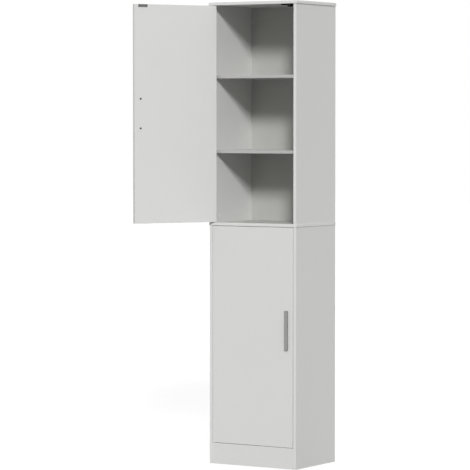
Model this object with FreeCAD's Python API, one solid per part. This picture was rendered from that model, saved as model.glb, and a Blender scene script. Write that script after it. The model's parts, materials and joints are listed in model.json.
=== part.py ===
"""Tall bathroom cabinet with two doors, one above the other, hung on pivots at the left.

Lengths are in millimetres. +Z is up, +X is to the right seen from the front, and the front faces -Y.
The origin is the middle of the plinth's underside, on the floor. The lower door is modelled closed
and the upper door open.
"""

import FreeCAD, Part
import math
import os

V = FreeCAD.Vector

# ---------------------------------------------------------------- driving dimensions
# Carcass
cabinet_height = 1800.0
cabinet_width = 392.0          # over the outsides of the sides
cabinet_depth = 300.0          # front edge to rear edge of the sides
board = 12.0                   # thickness of every board
plinth_height = 81.5           # floor to the foot of the lower opening
lower_opening = 851.0          # height between plinth and divider
top_overhang = 2.0             # top board past the front
top_side_overhang = 3.5        # top board past the sides
divider_overhang = 1.0         # divider past the front
divider_side_overhang = 2.0    # divider past the sides
edge_bevel = 0.6               # on the boards' visible edges

# Back
back_thickness = 3.0
back_inset = 9.0               # rear edge of the sides to the front of the back panels
groove_depth = 5.0             # in the sides
board_groove_depth = 3.5       # in the divider and the rail
groove_play = 0.2              # each side of a back panel in its groove
tongue_play = 0.5              # edge of a back panel to the foot of its groove
rail_height = 61.0
wall_hole_radius = 2.5
wall_hole_inset = 30.0         # from the inside of the side

# Shelves: heights of their undersides above the floor of their opening
lower_shelf_heights = (275.0, 562.0)
upper_shelf_heights = (269.5, 560.5)
shelf_setback = 20.0           # front edge of the sides to the front edge of a shelf
shelf_end_play = 0.5
shelf_rear_play = 1.0
pin_radius = 2.5
pin_depth = 8.0                # plug in the side
pin_reach = 8.0                # ledge under the shelf
pin_ledge_width = 7.0
pin_ledge_thickness = 3.0
pin_inset = 40.0               # front and rear edge of a shelf to the pins

# Doors
door_gap = 1.5                 # above, below and at the hinge side of an inset door
door_free_gap = 2.0            # at its free side
door_thickness = 12.0
door_bevel = 0.4
open_angle = 117.0             # at which the upper door stands

# Pivots
pivot_inset = 7.0              # inside of the side to the pivot axis
pivot_depth = 4.0              # front of the door to the pivot axis
pivot_pin_radius = 1.5
pivot_running_play = 0.05      # radial, pin in bush
bush_wall = 0.65
bush_flange_radius = 3.4
bush_depth = 4.5               # barrel in the board
pivot_end_play = 0.2           # bush flange to the door's plate
plate_length = 36.0
plate_width = 7.0
plate_thickness = 1.5
plate_corner = 2.0             # bevel of its corners
plate_front_inset = 1.1        # front of the door to the plate
plate_end_inset = 4.2          # end of the plate to the pivot axis
plate_screw_place = 22.0       # from the pivot axis

# Small screws
screw_radius = 1.4
screw_head_radius = 2.6
flush_head_height = 0.8
round_head_height = 2.0
plate_screw_length = 5.4
strike_screw_length = 8.0
catch_screw_length = 14.0

# Handles
handle_length = 151.6
handle_width = 14.0
handle_projection = 8.6
handle_lip = 4.6               # thickness of the grip's head
handle_lip_overhang = 3.0      # head past the foot on each side
handle_corner_radius = 2.4
handle_crown = 0.5             # swell of the front face
handle_edge_inset = 27.0       # free edge of the door to the handle's centre line
handle_hole_spacing = 113.0
lower_handle_height = 452.0    # foot of the door to the middle of the handle
upper_handle_height = 422.0
handle_screw_radius = 2.0
handle_screw_head_radius = 4.0
handle_screw_depth = 5.5       # in the handle

# Magnetic catches
catch_inset = 51.5             # outside of the right side to the catch's middle
catch_length = 50.0
catch_depth = 17.0
catch_base_height = 5.5
catch_block_length = 15.0
catch_block_height = 11.5
catch_block_offset = 11.5      # middle of the catch to the middle of its block
catch_screw_places = (-18.0, -5.0)   # from the middle of the catch
magnet_length = 11.0
magnet_height = 4.4
magnet_depth = 12.0
pole_thickness = 1.2
pole_protrusion = 0.5
catch_gap = 0.3                # poles to the strike plate of the closed door
strike_length = 41.0
strike_height = 11.0
strike_thickness = 1.0
strike_top_inset = 0.5         # top of the door to the strike plate
strike_screw_spacing = 28.0
strike_corner = 1.5

# Cam fittings and dowels
cam_radius = 7.5
cam_height = 9.5
cam_setback = 24.0             # joint to the middle of the cam
bolt_thread_radius = 3.0
bolt_thread_length = 8.8
bolt_shank_radius = 1.9
bolt_head_radius = 3.2
bolt_head_length = 2.4
cover_radius = 8.6
cover_thickness = 0.8
dowel_radius = 3.0
dowel_face_depth = 8.5
dowel_edge_depth = 21.0
fit_play = 0.1                 # fasteners and bushes in their bores
bore_end_play = 0.5
past = 1.0                     # cutting shapes past the surface that they open
hidden_flats = 6               # flats of a fastener that lies hidden in the boards
screw_flats = 8
cam_flats = 12
cover_flats = 16

# Places of the fittings, from the front edge of the sides
upper_fitting_depths = (60.0, 240.0)
lower_fitting_depths = (84.0, 216.0)
dowel_depth_place = 150.0
bottom_fitting_depths = (70.0, 230.0)
plinth_dowel_heights = (20.0, 46.0)
plinth_dowel_span = 240.0
rail_dowel_offset = 16.0       # below and above the middle of the rail

# ---------------------------------------------------------------- planes worked out from them
outer_x = cabinet_width / 2
inner_x = outer_x - board
front_y = -board / 2
rear_y = front_y + cabinet_depth
back_y = rear_y - back_inset
divider_z = plinth_height + lower_opening
divider_top_z = divider_z + board
top_z = cabinet_height - board
upper_opening = top_z - divider_top_z
rail_z = top_z - rail_height
bottom_z = plinth_height - board
door_hinge_x = -inner_x + door_gap
door_free_x = inner_x - door_free_gap
door_inside_y = front_y + door_thickness
pivot_x = -inner_x + pivot_inset
pivot_y = front_y + pivot_depth
catch_x = outer_x - catch_inset
strike_face_y = door_inside_y + strike_thickness
X_AXIS, Y_AXIS, Z_AXIS = V(1, 0, 0), V(0, 1, 0), V(0, 0, 1)

nodes = {}


# ---------------------------------------------------------------- shared shapes
def block(x0, x1, y0, y1, z0, z1):
    return Part.makeBox(x1 - x0, y1 - y0, z1 - z0, V(x0, y0, z0))


def rod(radius, start, end):
    run = end - start
    return Part.makeCylinder(radius, run.Length, start, run)


def without(shape, tools):
    return shape.cut(tools).Solids[0] if tools else shape


def prism(radius, start, end, sides):
    """Regular prism with its corners on the radius."""
    run = end - start
    across = run.cross(Y_AXIS if abs(run.y) < run.Length / 2 else Z_AXIS).normalize()
    other = run.cross(across).normalize()
    turns = [2 * math.pi * i / sides for i in range(sides + 1)]
    corners = [start + across * (radius * math.cos(t)) + other * (radius * math.sin(t)) for t in turns]
    return Part.Face(Part.makePolygon(corners)).extrude(run)


def peg(radius, start, end, sides=hidden_flats):
    """Part of a hidden fastener: round on the real piece, with flats here to keep the model light."""
    return prism(radius, start, end, sides)


def peg_room(radius, start, end, sides=hidden_flats):
    """Bore for a peg of the same number of flats, clear of it all round by the fit's play."""
    return prism((radius + fit_play) / math.cos(math.pi / sides), start, end, sides)


def stepped(start, direction, lengths_and_radii, room=False, sides=hidden_flats):
    """Pegs of several radii end to end, or with room the bores for them."""
    make = peg_room if room else peg
    pieces = []
    for length, radius in lengths_and_radii:
        end = start + direction * length
        pieces.append(make(radius, start, end, sides))
        start = end
    return pieces[0].multiFuse(pieces[1:]).removeSplitter().Solids[0]


def bevelled(shape, size, keep):
    """Bevel the edges whose two ends both pass the test."""
    edges = [e for e in shape.Edges if all(keep(v.Point) for v in e.Vertexes)]
    return shape.makeChamfer(size, edges).Solids[0]


def mirrored(shape):
    return shape.mirror(V(0, 0, 0), X_AXIS)


def both_hands(shapes):
    return list(shapes) + [mirrored(shape) for shape in shapes]


# ---------------------------------------------------------------- fasteners
def cam_joint(joint, into_face, cam_side):
    """Bolt in one board's face, drawn in by a cam lock in the other board's end.

    joint is on the joint's plane, into_face points into the board that holds the bolt's thread, and
    cam_side points at the face that the cam is let into.
    """
    cam = joint - into_face * cam_setback
    cam_face = cam + cam_side * (board / 2)
    across = into_face.cross(cam_side)
    half_head = bolt_head_length / 2
    bolt = stepped(cam - into_face * half_head, into_face,
                   [(bolt_head_length, bolt_head_radius),
                    (cam_setback - half_head, bolt_shank_radius),
                    (bolt_thread_length, bolt_thread_radius)])

    def channel(half_width, near, far):
        """Open way through the cam's inner end for the bolt's shank or head."""
        ceiling = cam + cam_side * half_width
        corners = [ceiling + into_face * along + across * (side * half_width)
                   for along, side in ((near, -1), (far, -1), (far, 1), (near, 1))]
        return Part.Face(Part.makePolygon(corners + corners[:1])).extrude(-cam_side * cam_height)

    lock = peg(cam_radius, cam_face - cam_side * cam_height, cam_face, cam_flats)
    lock = without(lock, [channel(bolt_shank_radius + fit_play, 0, cam_radius + past),
                          channel(bolt_head_radius + fit_play, -half_head - fit_play,
                                  half_head + fit_play)])
    face_bore = peg_room(bolt_thread_radius, joint - into_face * past,
                         joint + into_face * (bolt_thread_length + bore_end_play))
    cam_bore = peg_room(cam_radius, cam_face - cam_side * (cam_height + fit_play),
                        cam_face + cam_side * past, cam_flats)
    edge_bore = peg_room(bolt_head_radius, cam, joint + into_face * past)
    cover = peg(cover_radius, cam_face, cam_face + cam_side * cover_thickness, cover_flats)
    return {"bolt": bolt, "lock": lock, "cover": cover, "face": [face_bore],
            "edge": [cam_bore, edge_bore]}


def dowel_joint(joint, into_face):
    """Dowel from one board's end into another board's face, and the bore for both."""
    dowel = peg(dowel_radius, joint - into_face * dowel_edge_depth, joint + into_face * dowel_face_depth)
    bore = peg_room(dowel_radius, joint - into_face * (dowel_edge_depth + bore_end_play),
                    joint + into_face * (dowel_face_depth + bore_end_play))
    return {"dowel": dowel, "face": [bore], "edge": [bore]}


def flush_screw(head, direction, length, room=False):
    """Small screw whose head lies flush at the point head, or the room for it."""
    steps = [(flush_head_height, screw_head_radius), (length - flush_head_height, screw_radius)]
    if room:
        steps = [(past, screw_head_radius), *steps, (bore_end_play, screw_radius)]
        head = head - direction * past
    return stepped(head, direction, steps, room, sides=screw_flats)


def joined(joints, key):
    return [piece for joint in joints for piece in both_hands([joint[key]])]


# ---------------------------------------------------------------- joints of the carcass (left hand)
side_x = -(outer_x + inner_x) / 2
down, up, inward, outward = -Z_AXIS, Z_AXIS, X_AXIS, -X_AXIS

top_cams = [cam_joint(V(side_x, front_y + d, top_z), up, inward) for d in upper_fitting_depths]
foot_cams = [cam_joint(V(side_x, front_y + d, divider_top_z), down, inward)
             for d in upper_fitting_depths]
head_cams = [cam_joint(V(side_x, front_y + d, divider_z), up, inward) for d in lower_fitting_depths]
bottom_cams = [cam_joint(V(-inner_x, front_y + d, bottom_z + board / 2), outward, down)
               for d in bottom_fitting_depths]
rail_mid_z = rail_z + rail_height / 2
rail_y = rear_y - board / 2

top_dowels = [dowel_joint(V(side_x, front_y + dowel_depth_place, top_z), up)]
foot_dowels = [dowel_joint(V(side_x, front_y + dowel_depth_place - 2 * cover_radius, divider_top_z),
                           down)]
head_dowels = [dowel_joint(V(side_x, front_y + dowel_depth_place + 2 * cover_radius, divider_z), up)]
bottom_dowels = [dowel_joint(V(-inner_x, front_y + dowel_depth_place, bottom_z + board / 2), outward)]
plinth_dowels = [dowel_joint(V(-inner_x, 0, z), outward) for z in plinth_dowel_heights]
rail_dowels = [dowel_joint(V(-inner_x, rail_y, rail_mid_z + s * rail_dowel_offset), outward)
               for s in (-1, 1)]
front_dowels = [dowel_joint(V(-plinth_dowel_span / 2, front_y + board, bottom_z + board / 2), -Y_AXIS)]

upper_joints = top_cams + foot_cams
lower_joints = head_cams + bottom_cams
nodes["upper_cam_bolts"] = joined(upper_joints, "bolt")
nodes["upper_cam_locks"] = joined(upper_joints, "lock")
nodes["upper_cam_covers"] = joined(upper_joints, "cover")
nodes["upper_dowels"] = joined(top_dowels + foot_dowels + rail_dowels, "dowel")
nodes["lower_cam_bolts"] = joined(lower_joints, "bolt")
nodes["lower_cam_locks"] = joined(lower_joints, "lock")
nodes["lower_cam_covers"] = joined(head_cams, "cover")
nodes["lower_dowels"] = joined(head_dowels + bottom_dowels + plinth_dowels + front_dowels, "dowel")


def bores(joints, key):
    return [bore for joint in joints for bore in joint[key]]


# ---------------------------------------------------------------- shelves and their pins
def shelf_pin(y, shelf_z):
    """Plug in the left side with a flat ledge under the shelf, and the plug's bore."""
    at_side = V(-inner_x, y, shelf_z - pin_radius)
    plug = peg(pin_radius, at_side + outward * pin_depth, at_side)
    ledge = block(-inner_x, -inner_x + pin_reach, y - pin_ledge_width / 2, y + pin_ledge_width / 2,
                  shelf_z - pin_ledge_thickness, shelf_z)
    bore = peg_room(pin_radius, at_side + outward * (pin_depth + bore_end_play),
                    at_side + inward * past)
    return plug.fuse(ledge).removeSplitter().Solids[0], bore


def shelf_set(name, floor_z, heights):
    """The shelves of one opening and their pins; returns the bores in the left side."""
    front = front_y + shelf_setback
    rear = back_y - shelf_rear_play
    half = inner_x - shelf_end_play
    pins, pin_bores = [], []
    for level, height in zip(("low", "high"), heights):
        z = floor_z + height
        shelf = block(-half, half, front, rear, z, z + board)
        nodes[f"{name}_shelf_{level}"] = [
            bevelled(shelf, edge_bevel, lambda p: abs(p.y - front) < 0.01)]
        for y in (front + pin_inset, rear - pin_inset):
            pin, bore = shelf_pin(y, z)
            pins.append(pin)
            pin_bores.append(bore)
    nodes[f"{name}_shelf_pins"] = both_hands(pins)
    return pin_bores


lower_pin_bores = shelf_set("lower", plinth_height, lower_shelf_heights)
upper_pin_bores = shelf_set("upper", divider_top_z, upper_shelf_heights)


# ---------------------------------------------------------------- sides
def side(name, foot_z, head_z, groove_foot_z, groove_head_z, cuts):
    """Left and right side of one storey, with the back panel's groove and the fittings' bores."""
    panel = block(-outer_x, -inner_x, front_y, rear_y, foot_z, head_z)
    panel = bevelled(panel, edge_bevel, lambda p: abs(p.y - front_y) < 0.01)
    groove = block(-inner_x - groove_depth, -inner_x + past, back_y - groove_play,
                   back_y + back_thickness + groove_play, groove_foot_z, groove_head_z)
    panel = without(panel, [groove] + cuts)
    nodes[f"{name}_left_side"] = [panel]
    nodes[f"{name}_right_side"] = [mirrored(panel)]


rail_tongue_z = rail_z + board_groove_depth
side("lower", 0, divider_z, bottom_z, divider_z + past,
     bores(head_cams + head_dowels, "edge") + bores(bottom_cams + bottom_dowels + plinth_dowels, "face")
     + lower_pin_bores)
side("upper", divider_top_z, top_z, divider_top_z - past, rail_tongue_z,
     bores(top_cams + foot_cams + top_dowels + foot_dowels, "edge")
     + bores(rail_dowels, "face") + upper_pin_bores)


# ---------------------------------------------------------------- pivots
def pivot_plate(surface_z, into, play=0.0):
    """Plate let into a board or a door's end, flush with its surface, or the recess for it."""
    x0 = pivot_x - plate_end_inset
    y0 = front_y + plate_front_inset
    ends = (surface_z, surface_z + into * plate_thickness)
    plate = block(x0 - play, x0 + plate_length + play, y0 - play, y0 + plate_width + play,
                  min(ends), max(ends))
    uprights = [e for e in plate.Edges if e.BoundBox.ZLength > plate_thickness / 2]
    return plate.makeChamfer(plate_corner, uprights).Solids[0]


def pivot(name, board_z, to_board):
    """One pivot between a door's end and the board beyond it, whose surface is at board_z.

    to_board is +1 where the board is above the door and -1 where it is below. Adds both plates and the
    bush, and returns both screws and the room for all of them in the board and in the door.
    """
    way = Z_AXIS * to_board
    door_z = board_z - to_board * door_gap
    at_board = V(pivot_x, pivot_y, board_z)
    at_door = V(pivot_x, pivot_y, door_z)
    screw_x = pivot_x + plate_screw_place
    screw_y = front_y + plate_front_inset + plate_width / 2
    board_screw = (V(screw_x, screw_y, board_z), way, plate_screw_length)
    door_screw = (V(screw_x, screw_y, door_z), -way, plate_screw_length)

    bush_radius = pivot_pin_radius + pivot_running_play + bush_wall
    flange = door_gap - pivot_end_play
    bush = stepped(at_board - way * flange, way, [(flange, bush_flange_radius), (bush_depth, bush_radius)],
                   sides=cam_flats)
    bore = rod(pivot_pin_radius + pivot_running_play, at_board - way * door_gap,
               at_board + way * (bush_depth + past))
    nodes[f"{name}_bush"] = [without(bush, [bore])]
    bush_room = peg_room(bush_radius, at_board - way * past, at_board + way * (bush_depth + bore_end_play),
                         cam_flats)
    nodes[f"{name}_board_plate"] = [
        without(pivot_plate(board_z, to_board), [bush_room, flush_screw(*board_screw, room=True)])]

    pin = rod(pivot_pin_radius, at_door - way * plate_thickness,
              at_board + way * (bush_depth - bore_end_play))
    door_plate = pivot_plate(door_z, -to_board).cut(flush_screw(*door_screw, room=True))
    nodes[f"{name}_door_plate"] = [door_plate.fuse(pin).removeSplitter().Solids[0]]
    return {"board": [pivot_plate(board_z, to_board, fit_play), bush_room,
                      flush_screw(*board_screw, room=True)],
            "door": [pivot_plate(door_z, -to_board, fit_play), flush_screw(*door_screw, room=True)],
            "board_screw": flush_screw(*board_screw), "door_screw": flush_screw(*door_screw)}


lower_foot_pivot = pivot("lower_door_bottom", plinth_height, -1)
lower_head_pivot = pivot("lower_door_top", divider_z, 1)
upper_foot_pivot = pivot("upper_door_bottom", divider_top_z, -1)
upper_head_pivot = pivot("upper_door_top", top_z, 1)
pivots = [lower_foot_pivot, lower_head_pivot, upper_foot_pivot, upper_head_pivot]
nodes["board_plate_screws"] = [p["board_screw"] for p in pivots]
nodes["lower_door_plate_screws"] = [p["door_screw"] for p in pivots[:2]]
nodes["upper_door_plate_screws"] = [p["door_screw"] for p in pivots[2:]]


# ---------------------------------------------------------------- magnetic catches
def catch(name, under_z):
    """Catch under a board at the free side of the opening; returns the screws' room in the board."""
    pole_y = strike_face_y + catch_gap
    front = pole_y + pole_protrusion
    rear = front + catch_depth
    base = block(catch_x - catch_length / 2, catch_x + catch_length / 2, front, rear,
                 under_z - catch_base_height, under_z)
    block_x = catch_x + catch_block_offset
    magnet_block = block(block_x - catch_block_length / 2, block_x + catch_block_length / 2, front, rear,
                         under_z - catch_block_height, under_z)
    housing = base.fuse(magnet_block).removeSplitter().Solids[0]
    housing = bevelled(housing, edge_bevel,
                       lambda p: p.z < under_z - edge_bevel and abs(p.y - front) < 0.01)
    stack = magnet_height + 2 * pole_thickness
    middle_z = under_z - catch_block_height / 2
    room_half = magnet_length / 2 + fit_play
    pocket = block(block_x - room_half, block_x + room_half, front - past,
                   front + magnet_depth + fit_play, middle_z - stack / 2 - fit_play,
                   middle_z + stack / 2 + fit_play)
    seats = [V(catch_x + place, (front + rear) / 2, under_z - catch_base_height)
             for place in catch_screw_places]
    screws = [stepped(s + down * round_head_height, up,
                      [(round_head_height, screw_head_radius), (catch_screw_length, screw_radius)],
                      sides=cam_flats) for s in seats]
    rooms = [peg_room(screw_radius, s + down * past, s + up * (catch_screw_length + bore_end_play),
                      cam_flats) for s in seats]
    nodes[f"{name}_catch_body"] = [without(housing, [pocket] + rooms)]
    magnet = block(block_x - magnet_length / 2, block_x + magnet_length / 2, front,
                   front + magnet_depth, middle_z - magnet_height / 2, middle_z + magnet_height / 2)
    poles = [block(block_x - magnet_length / 2, block_x + magnet_length / 2, pole_y,
                   front + magnet_depth, z, z + pole_thickness)
             for z in (middle_z - stack / 2, middle_z + magnet_height / 2)]
    nodes.setdefault("catch_magnets", []).append(magnet)
    nodes.setdefault("catch_poles", []).extend(poles)
    nodes.setdefault("catch_screws", []).extend(screws)
    return rooms


lower_catch_rooms = catch("lower", divider_z)
upper_catch_rooms = catch("upper", top_z)

# ---------------------------------------------------------------- boards across the cabinet
plinth = block(-inner_x, inner_x, front_y, front_y + board, 0, plinth_height)
plinth = bevelled(plinth, edge_bevel,
                  lambda p: abs(p.y - front_y) < 0.01 and abs(p.z - plinth_height) < 0.01)
plinth_ends = bores(plinth_dowels, "edge")
plinth_rear = bores(front_dowels, "face")
nodes["plinth"] = [without(plinth, both_hands(plinth_ends + plinth_rear) + lower_foot_pivot["board"])]

bottom_rear = back_y - tongue_play
bottom = block(-inner_x, inner_x, front_y + board, bottom_rear, bottom_z, plinth_height)
nodes["bottom_board"] = [
    without(bottom, both_hands(bores(bottom_cams + bottom_dowels + front_dowels, "edge")))]


def capping(z, overhang, side_overhang):
    """Board over the sides of a storey, past the front and past the sides by the overhangs."""
    end_x = outer_x + side_overhang
    cap = block(-end_x, end_x, front_y - overhang, rear_y, z, z + board)
    return bevelled(cap, edge_bevel, lambda p: True)


def panel_groove(z, depth):
    """Groove for a back panel's edge, as long as the panel in the sides' grooves."""
    return block(-inner_x - groove_depth, inner_x + groove_depth, back_y - groove_play,
                 back_y + back_thickness + groove_play, min(z, z + depth), max(z, z + depth))


divider_cuts = both_hands(bores(foot_cams + foot_dowels + head_cams + head_dowels, "face"))
divider_cuts += [panel_groove(divider_z, board_groove_depth),
                 panel_groove(divider_top_z, -board_groove_depth)]
divider_cuts += upper_foot_pivot["board"] + lower_head_pivot["board"] + lower_catch_rooms
divider = capping(divider_z, divider_overhang, divider_side_overhang)
nodes["divider_board"] = [without(divider, divider_cuts)]

top_cuts = both_hands(bores(top_cams + top_dowels, "face")) + upper_head_pivot["board"]
top = capping(top_z, top_overhang, top_side_overhang)
nodes["top_board"] = [without(top, top_cuts + upper_catch_rooms)]

rail = block(-inner_x, inner_x, rear_y - board, rear_y, rail_z, top_z)
wall_holes = [rod(wall_hole_radius, V(x, rear_y - board - past, rail_mid_z),
                  V(x, rear_y + past, rail_mid_z))
              for x in (-inner_x + wall_hole_inset, inner_x - wall_hole_inset)]
rail_groove = block(-inner_x - past, inner_x + past, back_y - groove_play,
                    back_y + back_thickness + groove_play, rail_z - past, rail_tongue_z)
rail_ends = both_hands(bores(rail_dowels, "edge"))
nodes["back_rail"] = [without(rail, wall_holes + [rail_groove] + rail_ends)]


# ---------------------------------------------------------------- back panels
def back_panel(name, foot_z, head_z):
    half = inner_x + groove_depth - tongue_play
    nodes[f"{name}_back_panel"] = [block(-half, half, back_y, back_y + back_thickness, foot_z, head_z)]


tongue = board_groove_depth - tongue_play
back_panel("lower", bottom_z, divider_z + tongue)
back_panel("upper", divider_top_z - tongue, rail_z + tongue)


# ---------------------------------------------------------------- doors
def handle_section(x, z):
    """Cross-section of the bar handle at height z: a foot on the door and a wider, crowned head."""
    def at(across, out):
        return V(x + across, front_y - out, z)

    half = handle_width / 2
    foot = half - handle_lip_overhang
    lip = handle_projection - handle_lip
    r = handle_corner_radius
    bend = r * (1 - math.sqrt(0.5))
    front = handle_projection - handle_crown
    corner = Part.Arc(at(half, front - r), at(half - bend, front - bend), at(half - r, front))
    crown = Part.Arc(at(half - r, front), at(0, handle_projection), at(r - half, front))
    other = Part.Arc(at(r - half, front), at(bend - half, front - bend), at(-half, front - r))
    corners = [at(-half, front - r), at(-half, lip), at(-foot, lip), at(-foot, 0), at(foot, 0),
               at(foot, lip), at(half, lip), at(half, front - r)]
    lines = [Part.LineSegment(a, b) for a, b in zip(corners, corners[1:])]
    edges = [curve.toShape() for curve in (corner, crown, other, *lines)]
    return Part.Face(Part.Wire(edges))


def bar_handle(x, middle_z):
    """Handle on the front of a door, with round ends in front view and blind screw holes behind."""
    foot_z = middle_z - handle_length / 2
    bar = handle_section(x, foot_z).extrude(V(0, 0, handle_length))
    half = handle_width / 2
    shadow = block(x - half, x + half, front_y - handle_projection - past, front_y + past, foot_z,
                   foot_z + handle_length)
    ends = [e for e in shadow.Edges if e.BoundBox.YLength > handle_projection]
    return bar.common(shadow.makeFillet(handle_corner_radius, ends)).Solids[0]


def door(name, foot_z, opening, handle_height, pivot_cuts, swing):
    """Door with its handle and strike plate, turned about its pivots by swing degrees."""
    z0 = foot_z + door_gap
    z1 = foot_z + opening - door_gap
    leaf = block(door_hinge_x, door_free_x, front_y, door_inside_y, z0, z1)
    leaf = bevelled(leaf, door_bevel, lambda p: True)

    handle_x = door_free_x - handle_edge_inset
    handle_z = z0 + handle_height
    handle = bar_handle(handle_x, handle_z)
    seats = [V(handle_x, door_inside_y, handle_z + s * handle_hole_spacing / 2) for s in (-1, 1)]
    reach = door_thickness + handle_screw_depth
    handle_screws = [stepped(s + Y_AXIS * round_head_height, -Y_AXIS,
                             [(round_head_height, handle_screw_head_radius),
                              (reach, handle_screw_radius)], sides=cover_flats) for s in seats]
    screw_bores = [peg_room(handle_screw_radius, s + Y_AXIS * past, s - Y_AXIS * (reach + bore_end_play),
                            cover_flats) for s in seats]

    strike_z = z1 - strike_top_inset - strike_height
    strike = block(catch_x - strike_length / 2, catch_x + strike_length / 2, door_inside_y,
                   strike_face_y, strike_z, strike_z + strike_height)
    heads = [V(catch_x + s * strike_screw_spacing / 2, strike_face_y, strike_z + strike_height / 2)
             for s in (-1, 1)]
    strike_screws = [flush_screw(h, -Y_AXIS, strike_screw_length) for h in heads]
    strike_bores = [flush_screw(h, -Y_AXIS, strike_screw_length, room=True) for h in heads]
    corners = [e for e in strike.Edges if e.BoundBox.YLength > strike_thickness / 2]
    strike = strike.makeChamfer(strike_corner, corners).Solids[0]

    nodes[f"{name}_door"] = [without(leaf, pivot_cuts + screw_bores + strike_bores)]
    nodes[f"{name}_handle"] = [without(handle, screw_bores)]
    nodes[f"{name}_handle_screws"] = handle_screws
    nodes[f"{name}_strike_plate"] = [without(strike, strike_bores)]
    nodes[f"{name}_strike_screws"] = strike_screws
    if swing:
        moving = [node for node in nodes
                  if node.startswith(f"{name}_door") and not node.endswith(("bush", "board_plate"))]
        moving += [f"{name}_{piece}" for piece in ("handle", "handle_screws", "strike_plate",
                                                   "strike_screws")]
        for node in moving:
            nodes[node] = [turned_open(solid, swing) for solid in nodes[node]]


def turned_open(solid, swing):
    swung = solid.copy()
    swung.rotate(V(pivot_x, pivot_y, 0), Z_AXIS, -swing)
    return swung


door("lower", plinth_height, lower_opening, lower_handle_height,
     lower_foot_pivot["door"] + lower_head_pivot["door"], 0)
door("upper", divider_top_z, upper_opening, upper_handle_height,
     upper_foot_pivot["door"] + upper_head_pivot["door"], open_angle)

# ---------------------------------------------------------------- files
os.makedirs("parts", exist_ok=True)
for node, solids in nodes.items():
    shape = solids[0] if len(solids) == 1 else Part.makeCompound(solids)
    shape.exportStep(f"parts/{node}.step")
print(f"{len(nodes)} nodes, {sum(len(solids) for solids in nodes.values())} solids")
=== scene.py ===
"""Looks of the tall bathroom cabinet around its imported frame.

Boards, handles, catches, pivots and fastenings are built in the frame's own axes, in metres, with
each door closed, and then turned to where the frame shows that door at rest.
"""

import json
import math

import bmesh
import bpy
from mathutils import Matrix, Vector


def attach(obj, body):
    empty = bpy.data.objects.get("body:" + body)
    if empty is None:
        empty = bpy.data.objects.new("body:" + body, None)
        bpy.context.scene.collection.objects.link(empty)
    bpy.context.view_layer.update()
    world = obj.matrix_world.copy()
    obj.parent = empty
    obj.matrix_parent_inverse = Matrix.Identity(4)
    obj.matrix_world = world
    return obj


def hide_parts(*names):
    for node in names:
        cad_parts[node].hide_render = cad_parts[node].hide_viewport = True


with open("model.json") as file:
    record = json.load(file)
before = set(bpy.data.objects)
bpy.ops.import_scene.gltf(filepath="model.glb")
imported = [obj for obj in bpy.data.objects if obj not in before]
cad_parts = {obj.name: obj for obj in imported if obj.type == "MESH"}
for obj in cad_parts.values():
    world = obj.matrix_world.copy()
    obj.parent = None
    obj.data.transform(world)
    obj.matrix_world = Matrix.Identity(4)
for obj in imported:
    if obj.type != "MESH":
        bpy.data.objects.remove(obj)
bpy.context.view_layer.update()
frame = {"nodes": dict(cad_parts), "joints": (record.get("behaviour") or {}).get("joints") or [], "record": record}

MM = 0.001
X, Y, Z = Vector((1, 0, 0)), Vector((0, 1, 0)), Vector((0, 0, 1))

# ---------------------------------------------------------------- the photograph's camera
FOCAL_PIXELS = 2670.5
PHOTO_PIXELS = 470
CAMERA_PLACE = Vector((5.440, -8.771, 1.336))
CAMERA_YAW = 32.20        # degrees to the left of straight at the front
CAMERA_PITCH = 2.426      # degrees downwards

lens = bpy.data.cameras.new("photo_camera")
lens.sensor_width = 36.0
lens.lens = lens.sensor_width * FOCAL_PIXELS / PHOTO_PIXELS
lens.clip_start, lens.clip_end = 0.1, 100.0
camera = bpy.data.objects.new("photo_camera", lens)
camera.location = CAMERA_PLACE
camera.rotation_euler = (math.radians(90 - CAMERA_PITCH), 0, math.radians(CAMERA_YAW))
bpy.context.scene.collection.objects.link(camera)
bpy.context.scene.camera = camera


# ---------------------------------------------------------------- shader arithmetic
class Wire:
    """A node's output that takes part in Python arithmetic."""

    def __init__(self, tree, socket):
        self.tree, self.socket = tree, socket

    def math(self, operation, *operands):
        made = self.tree.nodes.new("ShaderNodeMath")
        made.operation = operation
        for place, operand in enumerate(operands):
            join(self.tree, operand, made.inputs[place])
        return Wire(self.tree, made.outputs[0])

    def beside(self, output):
        """Another output of the same node."""
        return Wire(self.tree, self.socket.node.outputs[output])

    def __add__(self, other):
        return self.math("ADD", self, other)

    def __mul__(self, other):
        return self.math("MULTIPLY", self, other)

    __radd__, __rmul__ = __add__, __mul__


def join(tree, value, socket):
    """Link a wire to a socket, or write a plain value there."""
    if isinstance(value, Wire):
        tree.links.new(value.socket, socket)
    else:
        socket.default_value = value


class Shading:
    """The node tree of a material or a world."""

    def __init__(self, owner):
        owner.use_nodes = True
        self.tree = owner.node_tree

    def node(self, kind, settings, sockets, output=0):
        """A node with its settings, and the values or wires of its sockets by name or number."""
        made = self.tree.nodes.new(kind)
        for name, setting in settings.items():
            setattr(made, name, setting)
        for name, value in sockets.items():
            join(self.tree, value, made.inputs[name])
        return Wire(self.tree, made.outputs[output])

    def seen_directly(self):
        """1 for rays from the camera, from gloss and through glass, else 0."""
        path = self.node("ShaderNodeLightPath", {}, {})
        either = (path.beside("Is Camera Ray") + path.beside("Is Glossy Ray")
                  + path.beside("Is Transmission Ray"))
        return either.math("MINIMUM", either, 1.0)

    def shown(self, shader, output):
        """Make a shader the tree's surface."""
        join(self.tree, shader, self.tree.nodes[output].inputs["Surface"])


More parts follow.
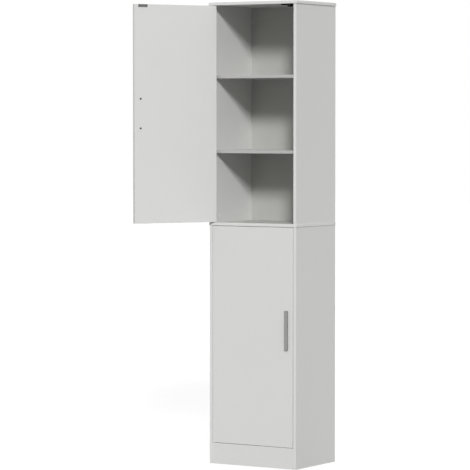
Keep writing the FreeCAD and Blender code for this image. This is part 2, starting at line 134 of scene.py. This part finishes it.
class Finish(Shading):
    """A material's nodes, for a finish on the cabinet or for the floor."""

    def __init__(self, name):
        self.material = bpy.data.materials.new(name)
        super().__init__(self.material)
        self.shader = self.tree.nodes["Principled BSDF"]

    def grain(self, cycles, detail=2.0, stretch=(1, 1, 1)):
        """Noise around 0.5 with so many cycles in a metre; a stretch below 1 draws it out that way."""
        spot = self.node("ShaderNodeTexCoord", {}, {}, output=3)
        placed = self.node("ShaderNodeMapping", {}, {"Vector": spot, "Scale": stretch})
        return self.node("ShaderNodeTexNoise", {},
                         {"Vector": placed, "Scale": cycles, "Detail": detail})

    def between(self, low, high, share):
        """Colour that goes from low to high with the share."""
        return self.node("ShaderNodeMix", {"data_type": "RGBA"},
                         {0: share, 6: (*low, 1), 7: (*high, 1)}, output=2)

    def relief(self, height, depth):
        """Normal over a fine relief as deep as given, in metres."""
        return self.node("ShaderNodeBump", {},
                         {"Height": height, "Strength": 1.0, "Distance": depth})

    def coated(self, sockets):
        """Fill the shader's sockets and return the material."""
        for name, value in sockets.items():
            join(self.tree, value, self.shader.inputs[name])
        return self.material


def shade(color, factor):
    """The colour, darker or lighter by a factor."""
    return tuple(channel * factor for channel in color)


# ---------------------------------------------------------------- finishes
LAMINATE_GREY = (0.652, 0.652, 0.640)
# Darker grey for the inward faces of the top board, divider, bottom board and shelves: painted shade for the
# inside of the compartments, not a second grey known on the cabinet.
INNER_PAINTED_SHADE_GREY = (0.500, 0.502, 0.486)
# Darker grey for the back panels and the rail's front: painted shade for the deep back of the compartments.
BACK_PAINTED_SHADE_GREY = (0.420, 0.423, 0.404)
FACE_RELIEF = 0.000022        # depth of the fine relief on a board's faces, in metres
BAND_RELIEF = 0.000012        # the same on edge bands and handles


def laminate(name, color, roughness, pearl):
    """Melamine face or edge band: one grey, a faint cloudiness, and a fine pearl relief."""
    finish = Finish(name)
    cloud = finish.grain(3.2, 3.0)
    pearls = finish.grain(950.0, 3.0)
    grime = finish.grain(24.0, 4.0)
    return finish.coated({
        "Base Color": finish.between(shade(color, 0.985), shade(color, 1.015), cloud),
        "Roughness": roughness - 0.04 + 0.05 * grime + 0.06 * pearls,
        "Normal": finish.relief(pearls, pearl),
    })


def hardboard():
    """Thin back panel: laminate over pressed fibres, a little less even than the boards, in a darker grey that is
    painted shade for the back of the compartments.
    """
    finish = Finish("back_panel_painted_shade")
    cloud = finish.grain(6.0, 3.0)
    fibres = finish.grain(420.0, 5.0, (1, 1, 0.35))
    return finish.coated({
        "Base Color": finish.between(shade(BACK_PAINTED_SHADE_GREY, 0.975), shade(BACK_PAINTED_SHADE_GREY, 1.01),
                                     0.6 * cloud + 0.4 * fibres),
        "Roughness": 0.50 + 0.10 * fibres,
        "Normal": finish.relief(fibres, 0.00006),
    })


def brushed(name, color, roughness, stretch, depth, uneven=0.10):
    """Metal with fine lines along the axis that the stretch draws out."""
    finish = Finish(name)
    lines = finish.grain(2600.0, 3.0, stretch)
    cloud = finish.grain(30.0, 2.0)
    return finish.coated({
        "Base Color": finish.between(shade(color, 1 - uneven), shade(color, 1 + uneven),
                                     0.6 * lines + 0.4 * cloud),
        "Metallic": 1.0,
        "Roughness": roughness - 0.05 + 0.10 * lines + 0.04 * cloud,
        "Normal": finish.relief(lines, depth),
    })


def moulded(name, color, roughness, depth, gloss=0.5):
    """Moulded plastic with a fine spark-eroded skin."""
    finish = Finish(name)
    skin = finish.grain(1800.0, 2.0)
    flow = finish.grain(60.0, 2.0)
    return finish.coated({
        "Base Color": finish.between(shade(color, 0.93), shade(color, 1.07), flow),
        "Roughness": roughness - 0.04 + 0.08 * skin,
        "Specular IOR Level": gloss,
        "Normal": finish.relief(skin, depth),
    })


def beech():
    """Bare beech with its grain along the cabinet's width or height and small dark flecks."""
    finish = Finish("dowel_beech")
    grain = finish.grain(900.0, 4.0, (0.25, 1, 0.25))
    flecks = finish.grain(2400.0, 1.0, (0.4, 1, 0.4))
    tone = 0.7 * grain + 0.3 * flecks
    return finish.coated({
        "Base Color": finish.between((0.42, 0.26, 0.13), (0.70, 0.50, 0.30), tone),
        "Roughness": 0.62 + 0.12 * flecks,
        "Normal": finish.relief(grain, 0.00005),
    })


def particle_core():
    """Raw particle board, as seen in bores, grooves and recesses."""
    finish = Finish("board_core")
    chips = finish.grain(700.0, 3.0)
    dust = finish.grain(3000.0, 2.0)
    return finish.coated({
        "Base Color": finish.between((0.30, 0.20, 0.11), (0.66, 0.50, 0.33),
                                     0.7 * chips + 0.3 * dust),
        "Roughness": 0.80 + 0.10 * dust,
        "Normal": finish.relief(chips, 0.0002),
    })


face_laminate = laminate("board_laminate", LAMINATE_GREY, 0.46, FACE_RELIEF)
# Painted shade: the inward faces of the horizontal boards are darker than the outside.
inner_painted_shade = laminate("board_inner_painted_shade", INNER_PAINTED_SHADE_GREY, 0.50, FACE_RELIEF)
# Painted shade: the rail's front has the back panels' darker grey.
rail_painted_shade = laminate("rail_painted_shade", BACK_PAINTED_SHADE_GREY, 0.50, FACE_RELIEF)
edge_laminate = laminate("board_edge_band", shade(LAMINATE_GREY, 1.02), 0.38, BAND_RELIEF)
# The shelves' front edges are a third darker than the other edges.
shelf_edge = laminate("shelf_edge_band", shade(LAMINATE_GREY, 0.66), 0.42, BAND_RELIEF)
back_hardboard_painted_shade = hardboard()
handle_grey = brushed("handle_satin_grey", (0.31, 0.31, 0.31), 0.36, (1, 1, 0.02), BAND_RELIEF, 0.06)
# Painted shade: a darker copy of the handle's grey for the bar's side faces.
handle_side_painted_shade = brushed("handle_side_painted_shade", (0.14, 0.14, 0.14), 0.38, (1, 1, 0.02), BAND_RELIEF,
                           0.06)
strike_grey = brushed("strike_plate_steel", (0.18, 0.18, 0.18), 0.36, (0.05, 0.05, 1), 0.00001)
# Nearly black metal for the door screws and the catch's pole plates; dark metal on the real screws is not known.
near_black_metal = brushed("screw_near_black_metal", (0.10, 0.10, 0.10), 0.40, (1, 1, 1), 0.000015)
zinc = brushed("fastener_zinc", (0.60, 0.61, 0.64), 0.32, (1, 1, 1), 0.000015)
black_moulding = moulded("catch_black_moulding", (0.005, 0.005, 0.005), 0.36, 0.00002, 0.12)
cover_grey = moulded("cam_cover_grey", LAMINATE_GREY, 0.46, 0.00002)
bush_white = moulded("bush_white_moulding", (0.74, 0.74, 0.72), 0.40, 0.00001)
ferrite = moulded("magnet_ferrite", (0.016, 0.016, 0.016), 0.62, 0.00003, 0.2)
bare_beech = beech()
raw_core = particle_core()

# ---------------------------------------------------------------- places taken from the frame
BODY_OF = {node: body for body, nodes in frame["record"]["behaviour"]["bodies"].items()
           for node in nodes}
WELD = 0.002 * MM             # points nearer than this are one
SQUARE_ON = 0.999             # cosine above which a direction counts as along another
NEARLY_SQUARE_ON = 0.99
NEARLY_FLAT = math.radians(0.3)   # faces that meet at less are made one


def opening_turn(node):
    """Turn that takes a door's pieces from closed to where the door stands at rest."""
    for joint in frame["joints"]:
        if joint["child"] == BODY_OF[node]:
            pivot = Matrix.Translation(joint["pos_m"])
            swing = Matrix.Rotation(math.radians(-joint["range_deg"][0]), 4, Vector(joint["axis"]))
            return pivot @ swing @ pivot.inverted()
    return Matrix.Identity(4)


def closed_solid(node):
    """The node's CAD mesh, welded, with its door closed."""
    shape = bmesh.new()
    shape.from_mesh(frame["nodes"][node].data)
    bmesh.ops.transform(shape, matrix=opening_turn(node).inverted(), verts=shape.verts)
    bmesh.ops.remove_doubles(shape, verts=shape.verts, dist=WELD)
    return shape


class Solid:
    """Lowest and highest corner of one closed solid of a node, and the mean of its vertices."""

    def __init__(self, points):
        self.low = Vector(min(p[i] for p in points) for i in range(3))
        self.high = Vector(max(p[i] for p in points) for i in range(3))
        self.centre = (self.low + self.high) / 2
        self.size = self.high - self.low
        self.mean = sum(points, Vector()) / len(points)
        self.left = self.centre.x < 0

    def end(self, axis, way):
        """Middle of the face that looks along the axis, forwards or backwards."""
        spot = self.centre.copy()
        spot[axis] = (self.high if way > 0 else self.low)[axis]
        return spot

    def head(self):
        """Middle of a fastener's head, which has more vertices than its tip, and the way it looks."""
        axis = max(range(3), key=lambda i: self.size[i])
        way = 1 if self.mean[axis] > self.centre[axis] else -1
        return self.end(axis, way), (X, Y, Z)[axis] * way


def solids(node):
    """The node's separate solids, with its door closed, in a fixed order."""
    shape = closed_solid(node)
    shape.verts.ensure_lookup_table()
    reached, found = [False] * len(shape.verts), []
    for first in shape.verts:
        points, todo = [], [first]
        while todo:
            vert = todo.pop()
            if not reached[vert.index]:
                reached[vert.index] = True
                points.append(vert.co.copy())
                todo.extend(edge.other_vert(vert) for edge in vert.link_edges)
        if points:
            found.append(Solid(points))
    shape.free()
    return sorted(found, key=lambda solid: tuple(round(c, 5) for c in solid.low))


# ---------------------------------------------------------------- shared making
def piece(name, shape, finishes, *nodes, sharp=35):
    """Object from a shape made with its door closed; it stands for the nodes and rides on their body."""
    bmesh.ops.transform(shape, matrix=opening_turn(nodes[0]), verts=shape.verts)
    for edge in shape.edges:
        edge.smooth = edge.calc_face_angle(0) < math.radians(sharp)
    mesh = bpy.data.meshes.new(name)
    shape.to_mesh(mesh)
    shape.free()
    for finish in finishes:
        mesh.materials.append(finish)
    made = bpy.data.objects.new(name, mesh)
    bpy.context.scene.collection.objects.link(made)
    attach(made, BODY_OF[nodes[0]])
    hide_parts(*nodes)
    return made


def gathered(shapes):
    """One shape that holds all the shapes."""
    whole = bmesh.new()
    for shape in shapes:
        passing = bpy.data.meshes.new("passing")
        shape.to_mesh(passing)
        shape.free()
        whole.from_mesh(passing)
        bpy.data.meshes.remove(passing)
    return whole


def aimed(shape, foot, direction):
    """The shape, made from the origin along +Z, moved to a point and turned along a direction."""
    turn = direction.to_track_quat("Z", "Y").to_matrix().to_4x4()
    bmesh.ops.transform(shape, matrix=Matrix.Translation(foot) @ turn, verts=shape.verts)
    return shape


def slab(low, high):
    """Plain block between two corners."""
    shape = bmesh.new()
    stretch = Matrix.Diagonal((*(high - low), 1))
    bmesh.ops.create_cube(shape, size=1, matrix=Matrix.Translation((low + high) / 2) @ stretch)
    return shape


def rounded(shape, edges, offset, segments=3):
    """Round the edges; the new faces are smooth."""
    made = bmesh.ops.bevel(shape, geom=list(edges), offset=offset, offset_type="OFFSET",
                           segments=segments, profile=0.5, affect="EDGES", material=-1,
                           clamp_overlap=True)
    for face in made["faces"]:
        face.smooth = True
    return shape


def running(shape, axis):
    """The shape's edges that run along the axis."""
    return [e for e in shape.edges
            if abs((e.verts[0].co - e.verts[1].co).normalized().dot(axis)) > SQUARE_ON]


def facing(shape, way):
    """The shape's faces that look along the way."""
    return [face for face in shape.faces if face.normal.dot(way) > SQUARE_ON]


def lathe(profile, steps=32):
    """Shape turned about Z from (radius, height) pairs in millimetres, from the top down."""
    shape = bmesh.new()
    verts = [shape.verts.new((radius * MM, 0, height * MM)) for radius, height in profile]
    edges = [shape.edges.new(pair) for pair in zip(verts, verts[1:])]
    bmesh.ops.spin(shape, geom=verts + edges, cent=(0, 0, 0), axis=Z, angle=2 * math.pi, steps=steps,
                   use_merge=True)
    bmesh.ops.remove_doubles(shape, verts=shape.verts, dist=WELD)
    bmesh.ops.recalc_face_normals(shape, faces=shape.faces)
    for face in shape.faces:
        face.smooth = True
    return shape


def thread(radius, start, end, pitch, depth):
    """Profile of a thread's ridges between two heights, going down."""
    turns = max(1, round((start - end) / pitch))
    step = (start - end) / turns
    ridges = []
    for turn in range(turns):
        top = start - turn * step
        ridges += [(radius - depth, top - 0.08 * step), (radius, top - 0.42 * step),
                   (radius, top - 0.58 * step), (radius - depth, top - 0.92 * step)]
    return ridges


CROSS_TAPER = 0.7             # a cross recess's floor to its mouth


def cross_headed(profile, arm, depth, steps=24):
    """Screw turned from a profile that starts at the rim of its flat top, with a cross recess there."""
    screw = lathe(profile, steps)
    turned = len(screw.faces)
    rim = [e for e in screw.edges if e.is_boundary]
    bmesh.ops.create_grid(screw, x_segments=3, y_segments=3, size=arm * MM)
    tiles = list(screw.faces)[turned:]
    spots = [face.calc_center_median() for face in tiles]
    corners = [face for face, spot in zip(tiles, spots) if min(abs(spot.x), abs(spot.y)) > 0.1 * arm * MM]
    cross = [face for face in tiles if face not in corners]
    bmesh.ops.delete(screw, geom=corners, context="FACES")
    outline = [e for face in cross for e in face.edges if e.is_boundary]
    sunk = bmesh.ops.extrude_face_region(screw, geom=cross)["geom"]
    floor = [item for item in sunk if isinstance(item, bmesh.types.BMVert)]
    bmesh.ops.scale(screw, vec=(CROSS_TAPER, CROSS_TAPER, 1), verts=floor)
    bmesh.ops.translate(screw, vec=(0, 0, -depth * MM), verts=floor)
    bmesh.ops.delete(screw, geom=[face for face in cross if face.is_valid], context="FACES")
    bmesh.ops.triangle_fill(screw, use_beauty=True, edges=rim + outline, normal=Z)
    bmesh.ops.remove_doubles(screw, verts=screw.verts, dist=WELD)
    bmesh.ops.recalc_face_normals(screw, faces=screw.faces)
    return screw


# ---------------------------------------------------------------- boards and doors
RIM_REACH = 1.0 * MM      # a rim's bevel stays so near the board's corners
SKIN = 0.5 * MM           # deeper faces are in a bore, groove or recess
SHORTEST_RIM = 4.0 * MM   # shorter edges aren't rounded
BOARD_ROUNDING = 0.22 * MM
DOOR_ROUNDING = 0.3 * MM


def laminated(node, insides=(), painted_shade_finish=inner_painted_shade, edge_finish=edge_laminate,
              roundness=BOARD_ROUNDING, suffix="_laminated"):
    """Board made from its CAD solid, with its rims rounded over and its faces in their finishes.

    Faces that look along one of the insides get the darker finish given for them, which is painted shade.
    """
    board = closed_solid(node)
    bmesh.ops.dissolve_limit(board, angle_limit=NEARLY_FLAT, verts=board.verts, edges=board.edges)
    whole = Solid([vert.co.copy() for vert in board.verts])
    thin = min(range(3), key=lambda i: whole.size[i])

    def near(point, reach):
        """How many of the board's six outer planes are near the point."""
        return sum(min(point[i] - whole.low[i], whole.high[i] - point[i]) < reach for i in range(3))

    rims = [e for e in board.edges if len(e.link_faces) == 2 and e.calc_length() > SHORTEST_RIM
            and all(near(vert.co, RIM_REACH) > 1 for vert in e.verts)
            and math.radians(40) < e.calc_face_angle(0) < math.radians(95)]
    rounded(board, rims, roundness, 2)
    for face in board.faces:
        middle = face.calc_center_median()
        on_skin = near(middle, SKIN) > 0
        broad = abs(face.normal[thin]) > NEARLY_SQUARE_ON
        # faces that look into the cabinet take the darker painted-shade finish
        inner = any(face.normal.dot(way) > NEARLY_SQUARE_ON for way in insides)
        on_rim = near(middle, RIM_REACH) > 1 and max(map(abs, face.normal)) <= SQUARE_ON
        face.smooth = on_skin and on_rim
        face.material_index = (3 if inner else 0 if broad else 1) if on_skin else 2
    finishes = [face_laminate, edge_finish, raw_core, painted_shade_finish]
    return piece(node + suffix, board, finishes, node, sharp=30)


for storey in ("upper", "lower"):
    for side in ("left", "right"):
        laminated(f"{storey}_{side}_side")
    for shelf in ("low", "high"):
        laminated(f"{storey}_shelf_{shelf}", [Z, -Z], edge_finish=shelf_edge)
for board_node, insides in (("top_board", [-Z]), ("divider_board", [Z, -Z]), ("bottom_board", [Z]),
                            ("plinth", [])):
    laminated(board_node, insides)
# the rail's front gets the back panels' darker grey, painted shade
laminated("back_rail", [-Y], rail_painted_shade)
for door_node in ("upper_door", "lower_door"):
    laminated(door_node, roundness=DOOR_ROUNDING, suffix="_leaf")


def refinish(node, finish):
    """Give a CAD solid that stays in sight its finish."""
    stays = frame["nodes"][node]
    stays.data.materials.clear()
    stays.data.materials.append(finish)


for storey in ("upper", "lower"):
    # the back panels get their darker grey, painted shade
    refinish(storey + "_back_panel", back_hardboard_painted_shade)

# ---------------------------------------------------------------- handles
HANDLE_LIP = 4.6 * MM         # thickness of the grip's head
HANDLE_OVERHANG = 3.0 * MM    # head past its foot
HANDLE_ROUNDING = 2.2 * MM
HANDLE_CROWN = 0.5 * MM       # middle of the front past its edges
HANDLE_LIP_ROUNDING = 0.25 * MM


def bar_handle(node):
    """Slim bar: a foot on the door under a wider head with a crowned front and round corners."""
    bar = solids(node)[0]
    half, front, back = bar.size.x / 2, bar.low.y, bar.high.y
    lip = front + HANDLE_LIP
    foot = half - HANDLE_OVERHANG
    section = [(-half, front + HANDLE_CROWN), (-half / 2, front + HANDLE_CROWN / 4), (0, front),
               (half / 2, front + HANDLE_CROWN / 4), (half, front + HANDLE_CROWN), (half, lip),
               (foot, lip), (foot, back), (-foot, back), (-foot, lip), (-half, lip)]
    shape = bmesh.new()
    verts = [shape.verts.new((bar.centre.x + x, y, bar.low.z)) for x, y in section]
    base = shape.faces.new(verts)
    grown = bmesh.ops.extrude_face_region(shape, geom=[base], use_keep_orig=True)["geom"]
    bmesh.ops.translate(shape, vec=Z * bar.size.z,
                        verts=[item for item in grown if isinstance(item, bmesh.types.BMVert)])
    bmesh.ops.recalc_face_normals(shape, faces=shape.faces)
    grip = [e for e in shape.edges
            if any(abs(abs(v.co.x - bar.centre.x) - half) < WELD for v in e.verts)
            and all(v.co.y < lip + WELD for v in e.verts) and e.calc_face_angle(0) > 0.5
            and not all(abs(v.co.y - lip) < WELD for v in e.verts)]
    rounded(shape, grip, HANDLE_ROUNDING, 6)
    lips = [e for e in shape.edges if len(e.link_faces) == 2 and e.calc_face_angle(0) > 1.2]
    rounded(shape, lips, HANDLE_LIP_ROUNDING, 2)
    for face in shape.faces:
        if face.normal.y < -0.5:
            face.smooth = True
        # side faces take the darker copy of the grey, painted shade
        face.material_index = 1 if abs(face.normal.x) > 0.8 else 0
    return piece(node + "_bar", shape, [handle_grey, handle_side_painted_shade], node, sharp=40)


for storey in ("upper", "lower"):
    bar_handle(storey + "_handle")

# ---------------------------------------------------------------- screws
def pan_screw(length, head=4.0, shank=2.0, pitch=0.7):
    """Machine screw with a domed head, its top at height 0."""
    dome = [(0.56 * head, 0), (0.78 * head, -0.28), (0.92 * head, -0.75), (0.99 * head, -1.35),
            (head, -1.85), (0.97 * head, -2.0), (shank, -2.0)]
    tip = [(shank - 0.1, -length + 0.5), (shank - 0.6, -length), (0, -length)]
    return cross_headed(dome + thread(shank, -2.6, -length + 0.5, pitch, 0.3) + tip, 0.46 * head, 1.3)


def flush_screw(length, head=2.6, shank=1.4, pitch=0.9):
    """Countersunk screw with its flat top at height 0."""
    cone = [(head - 0.15, 0), (head, -0.12), (head, -0.3), (shank + 0.25, -0.8), (shank, -1.1)]
    tip = [(shank - 0.4, -length + 0.9), (0.25, -length), (0, -length)]
    return cross_headed(cone + thread(shank, -1.4, -length + 1.0, pitch, 0.32) + tip, 0.56 * head, 0.7)


def screw_set(node, make, finish, **sizes):
    """All screws of a node, each where its CAD solid is."""
    made = []
    for solid in solids(node):
        head, way = solid.head()
        made.append(aimed(make(max(solid.size) / MM, **sizes), head, way))
    return piece(node + "_cross_headed", gathered(made), [finish], node)


for storey in ("upper", "lower"):
    screw_set(storey + "_handle_screws", pan_screw, near_black_metal)
    screw_set(storey + "_strike_screws", flush_screw, near_black_metal)
    screw_set(storey + "_door_plate_screws", flush_screw, zinc)
screw_set("board_plate_screws", flush_screw, zinc)
screw_set("catch_screws", pan_screw, zinc, head=2.6, shank=1.4, pitch=0.9)


# ---------------------------------------------------------------- magnetic catches and strikes
STRIKE_CORNER = 2.0 * MM
STRIKE_RIM = 0.3 * MM
STRIKE_BORDER = 1.1 * MM      # flat border round the pressed field
STRIKE_SLOPE = 0.3 * MM       # width of the slope between the two
STRIKE_DEPTH = 0.25 * MM


def strike_plate(node):
    """Thin steel plate with round corners and a shallow pressed field."""
    plate = solids(node)[0]
    shape = slab(plate.low, plate.high)
    rounded(shape, running(shape, Y), STRIKE_CORNER, 6)
    rounded(shape, [e for face in facing(shape, Y) for e in face.edges], STRIKE_RIM, 3)
    bmesh.ops.inset_region(shape, faces=facing(shape, Y), thickness=STRIKE_BORDER, depth=0)
    bmesh.ops.inset_region(shape, faces=[max(facing(shape, Y), key=lambda face: face.calc_area())],
                           thickness=STRIKE_SLOPE, depth=-STRIKE_DEPTH)
    return piece(node + "_pressed", shape, [strike_grey], node)


CATCH_BASE = 5.5 * MM         # thickness of the base
CATCH_BLOCK = 15.0 * MM       # length of the block that holds the magnet
CATCH_BLOCK_END = 6.0 * MM    # right end of the base to the block
CATCH_WALL = 1.9 * MM
CATCH_POCKET = 12.1 * MM      # depth of the magnet's pocket
CATCH_CORNER = 3.0 * MM
CATCH_BASE_RIM = 0.6 * MM
CATCH_BLOCK_RIM = 0.9 * MM
MAGNET_ROUNDING = 0.3 * MM
POLE_ROUNDING = 0.15 * MM


def catch_housing(node):
    """Moulded base with round corners and a hollow block, open at the front for the magnet."""
    body = solids(node)[0]
    base = slab(Vector((body.low.x, body.low.y, body.high.z - CATCH_BASE)), body.high)
    rounded(base, running(base, Z), CATCH_CORNER, 6)
    rounded(base, [e for face in facing(base, -Z) for e in face.edges], CATCH_BASE_RIM, 3)
    right = body.high.x - CATCH_BLOCK_END
    block = slab(Vector((right - CATCH_BLOCK, body.low.y, body.low.z)),
                 Vector((right, body.high.y, body.high.z)))
    pocket = facing(block, -Y)
    bmesh.ops.inset_region(block, faces=pocket, thickness=CATCH_WALL, depth=0)
    bmesh.ops.inset_region(block, faces=pocket, thickness=0, depth=-CATCH_POCKET)
    rims = [e for e in block.edges if any(v.co.z < body.low.z + WELD for v in e.verts)
            and e.calc_face_angle(0) > 1]
    rounded(block, rims, CATCH_BLOCK_RIM, 4)
    return piece(node + "_moulded", gathered([base, block]), [black_moulding], node)


for storey in ("upper", "lower"):
    strike_plate(storey + "_strike_plate")
    catch_housing(storey + "_catch_body")


def softened(node, finish, offset, name):
    """Sheet or block with all its edges slightly broken."""
    shape = closed_solid(node)
    bmesh.ops.dissolve_limit(shape, angle_limit=NEARLY_FLAT, verts=shape.verts, edges=shape.edges)
    rounded(shape, [e for e in shape.edges if e.calc_face_angle(0) > 1], offset, 2)
    return piece(name, shape, [finish], node)


softened("catch_magnets", ferrite, MAGNET_ROUNDING, "catch_magnets_blocks")
softened("catch_poles", near_black_metal, POLE_ROUNDING, "catch_pole_plates")


# ---------------------------------------------------------------- pivots
def bush(node, door_is):
    """Bush round a pivot pin, with its flange towards the door, which is below or above it."""
    ring = [(1.55, 0), (3.15, 0), (3.4, -0.25), (3.4, -1.05), (3.15, -1.3), (2.3, -1.3), (2.3, -6.0),
            (2.0, -6.3), (1.55, -6.3), (1.55, 0)]
    foot = solids(node)[0].end(2, door_is.z)
    return piece(node + "_flanged", aimed(lathe(ring, 40), foot, door_is), [bush_white], node)


for door_end, door_is in (("upper_door_top", -Z), ("upper_door_bottom", Z),
                          ("lower_door_top", -Z), ("lower_door_bottom", Z)):
    bush(door_end + "_bush", door_is)
    refinish(door_end + "_board_plate", zinc)
    refinish(door_end + "_door_plate", zinc)


# ---------------------------------------------------------------- cam fittings, dowels and shelf pins
def cam_cover(solid):
    """Push-in cap with a soft rim and a shallow dished top."""
    cap = [(0, 0.62), (6.4, 0.66), (7.4, 0.80), (8.1, 0.72), (8.5, 0.42), (8.6, 0), (0, 0)]
    way = X if solid.left else -X
    return aimed(lathe(cap, 40), solid.end(0, -way.x), way)


def cam_lock(solid):
    """Cam with a cross slot in its face, the mouth of its bolt channel hidden in the board."""
    drum = [(5.6, 0), (7.2, 0), (7.5, -0.4), (7.5, -2.6), (6.9, -3.0), (6.9, -8.6), (6.4, -9.5), (0, -9.5)]
    axis = min(range(3), key=lambda i: solid.size[i])
    way = -Z if axis == 2 else (X if solid.left else -X)
    return aimed(cross_headed(drum, 4.2, 2.4, 32), solid.end(axis, way[axis]), way)


def cam_bolt(solid):
    """Bolt with a ball head for the cam, a collar at the joint and a coarse thread."""
    end, way = solid.head()
    length = max(solid.size) / MM
    joint = -length + 8.8
    stud = [(0, 0), (2.2, -0.1), (3.1, -0.8), (3.1, -1.7), (1.9, -2.6), (1.9, joint + 1.4),
            (3.0, joint + 1.0), (3.0, joint)]
    stud += thread(3.0, joint - 0.2, -length + 0.8, 1.6, 0.7) + [(2.2, -length), (0, -length)]
    return aimed(lathe(stud, 24), end, way)


DOWEL_STEPS = 36              # every second one is a groove
DOWEL_GROOVE = 0.93           # radius at a groove's floor to the dowel's


def dowel(solid):
    """Fluted beech dowel with broken ends."""
    axis = max(range(3), key=lambda i: solid.size[i])
    length = solid.size[axis] / MM
    profile = [(0, 0), (2.5, 0), (3.0, -1.0), (3.0, 1.0 - length), (2.5, -length), (0, -length)]
    shape = lathe(profile, DOWEL_STEPS)
    step = 360 / DOWEL_STEPS
    grooves = [vert for vert in shape.verts
               if round(math.degrees(math.atan2(vert.co.y, vert.co.x)) / step) % 2]
    bmesh.ops.scale(shape, vec=(DOWEL_GROOVE, DOWEL_GROOVE, 1), verts=grooves)
    return aimed(shape, solid.end(axis, 1), (X, Y, Z)[axis])


PLUG_RADIUS = 2.5             # in millimetres, as the turned profiles are
PLUG_DEPTH = 8.0
LEDGE_REACH = 8.0 * MM
LEDGE_THICKNESS = 3.0 * MM
LEDGE_CORNER = 2.2 * MM
LEDGE_RIM = 0.7 * MM


def shelf_pin(solid):
    """Plug in the side with a flat ledge under the shelf."""
    way = X if solid.left else -X
    tip = solid.end(0, way.x).x
    side = tip - way.x * LEDGE_REACH
    axis = Vector((side, solid.centre.y, solid.high.z - PLUG_RADIUS * MM))
    plug = [(0, 0), (PLUG_RADIUS, 0), (PLUG_RADIUS, 0.7 - PLUG_DEPTH),
            (PLUG_RADIUS - 0.6, -PLUG_DEPTH), (0, -PLUG_DEPTH)]
    ledge = slab(Vector((min(side, tip), solid.low.y, solid.high.z - LEDGE_THICKNESS)),
                 Vector((max(side, tip), solid.high.y, solid.high.z)))
    corners = [e for e in running(ledge, Z) if abs(e.verts[0].co.x - tip) < WELD]
    rounded(ledge, corners, LEDGE_CORNER, 5)
    rounded(ledge, [e for face in facing(ledge, -Z) for e in face.edges], LEDGE_RIM, 3)
    return gathered([aimed(lathe(plug, 24), axis, way), ledge])


SETS = (
    ("upper_cam_covers", cam_cover, cover_grey), ("lower_cam_covers", cam_cover, cover_grey),
    ("upper_cam_locks", cam_lock, zinc), ("lower_cam_locks", cam_lock, zinc),
    ("upper_cam_bolts", cam_bolt, zinc), ("lower_cam_bolts", cam_bolt, zinc),
    ("upper_dowels", dowel, bare_beech), ("lower_dowels", dowel, bare_beech),
    ("upper_shelf_pins", shelf_pin, zinc), ("lower_shelf_pins", shelf_pin, zinc),
)
for set_node, make, finish in SETS:
    piece(set_node + "_turned", gathered([make(solid) for solid in solids(set_node)]), [finish], set_node)

# ---------------------------------------------------------------- floor, background and light
FLOOR_SPAN = 60.0
KEY_ANGLE = 10.0              # degrees across, for soft edges of shadows
KEY_STRENGTH = 2.58
KEY_FROM = Vector((0.505, -0.734, 0.454))
FILL_ANGLE = 30.0
FILL_STRENGTH = 1.1
FILL_FROM = Vector((-0.55, 0.65, 0.52))
SKY_LOW, SKY_HIGH = 0.02, 0.92    # strength of the sky at the horizon and straight above
WHITE = (1, 1, 1, 1)
FLOOR_THROWN_BACK = (0.30, 0.30, 0.30, 1)
FLOOR_IN_VIEW = (0.24, 0.24, 0.24, 1)     # takes the shadow; the glow makes it white
FLOOR_GLOW = 0.77


def pale_floor():
    """White in view, with the cabinet's shadow, and grey for the light that it throws back."""
    finish = Finish("floor_white")
    finish.tree.nodes.remove(finish.shader)
    dull = finish.node("ShaderNodeBsdfDiffuse", {}, {"Color": FLOOR_THROWN_BACK})
    matt = finish.node("ShaderNodeBsdfDiffuse", {}, {"Color": FLOOR_IN_VIEW})
    white = finish.node("ShaderNodeEmission", {}, {"Strength": FLOOR_GLOW})
    bright = finish.node("ShaderNodeAddShader", {}, {0: matt, 1: white})
    finish.shown(finish.node("ShaderNodeMixShader", {}, {0: finish.seen_directly(), 1: dull, 2: bright}),
                 "Material Output")
    return finish.material


ground = bmesh.new()
bmesh.ops.create_grid(ground, x_segments=1, y_segments=1, size=FLOOR_SPAN / 2)
ground_mesh = bpy.data.meshes.new("floor")
ground.to_mesh(ground_mesh)
ground.free()
ground_mesh.materials.append(pale_floor())
floor = bpy.data.objects.new("floor", ground_mesh)
bpy.context.scene.collection.objects.link(floor)

world = bpy.data.worlds.new("studio")
bpy.context.scene.world = world
sky = Shading(world)
ray = sky.node("ShaderNodeTexCoord", {}, {})
height = sky.node("ShaderNodeSeparateXYZ", {}, {0: ray}, output=2)
glow = SKY_LOW + (SKY_HIGH - SKY_LOW) * height.math("MAXIMUM", height, 0.0)
gradient = sky.node("ShaderNodeBackground", {}, {"Color": WHITE, "Strength": glow})
backdrop = sky.node("ShaderNodeBackground", {}, {"Color": WHITE, "Strength": 1.0})
sky.shown(sky.node("ShaderNodeMixShader", {}, {0: sky.seen_directly(), 1: gradient, 2: backdrop}),
          "World Output")


def studio_light(name, strength, across, source):
    """Distant soft light that shines from the source's direction."""
    light = bpy.data.lights.new(name, "SUN")
    light.energy, light.angle = strength, math.radians(across)
    stand = bpy.data.objects.new(name, light)
    stand.rotation_mode = "QUATERNION"
    stand.rotation_quaternion = source.to_track_quat("Z", "Y")
    bpy.context.scene.collection.objects.link(stand)


studio_light("key_light", KEY_STRENGTH, KEY_ANGLE, KEY_FROM)
studio_light("fill_light", FILL_STRENGTH, FILL_ANGLE, FILL_FROM)

bpy.context.scene.view_settings.view_transform = "Standard"
